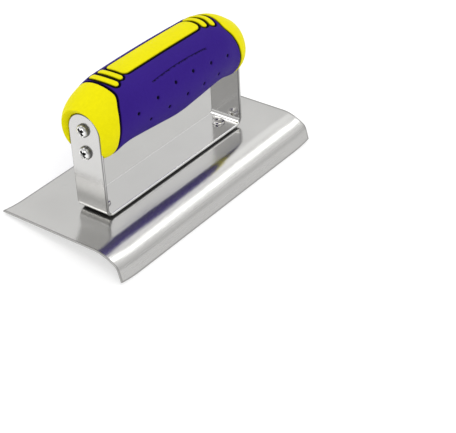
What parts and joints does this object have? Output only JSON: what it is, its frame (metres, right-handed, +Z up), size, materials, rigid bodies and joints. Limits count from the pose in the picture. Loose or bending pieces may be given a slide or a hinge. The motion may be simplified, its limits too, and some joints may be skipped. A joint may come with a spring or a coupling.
{
  "type": "concrete edger",
  "caption": "Steel hand edger for concrete: a lipped, polished blade, a riveted U-shaped strap and a two-colour moulded handle held by cross-recess screws.",
  "frame": {"origin": "on the ground under the middle of the tool's bounding box, as the tool rests on the lip's lower edge and the blade's back edge", "axes": "+X along the blade and the handle, +Y from the lip towards the blade's back edge, +Z up"},
  "size_m": [0.1526, 0.0754, 0.0737],
  "materials": {
    "blade_steel": "polished stainless sheet",
    "strap_steel": "polished stainless strap",
    "rivet_steel": "bright rivet head",
    "screw_steel": "bright zinc plate",
    "yellow_plastic": "smooth satin moulding",
    "purple_grip": "satin, slightly soft moulding"
  },
  "bodies": {
    "root": {"blade": "blade_steel", "handle_bracket": "strap_steel", "rivet_left": "rivet_steel", "rivet_right": "rivet_steel", "handle_core": "yellow_plastic", "handle_grip": "purple_grip", "handle_screw_left_upper": "screw_steel", "handle_screw_left_lower": "screw_steel", "handle_screw_right_upper": "screw_steel", "handle_screw_right_lower": "screw_steel"}
  },
  "joints": []
}
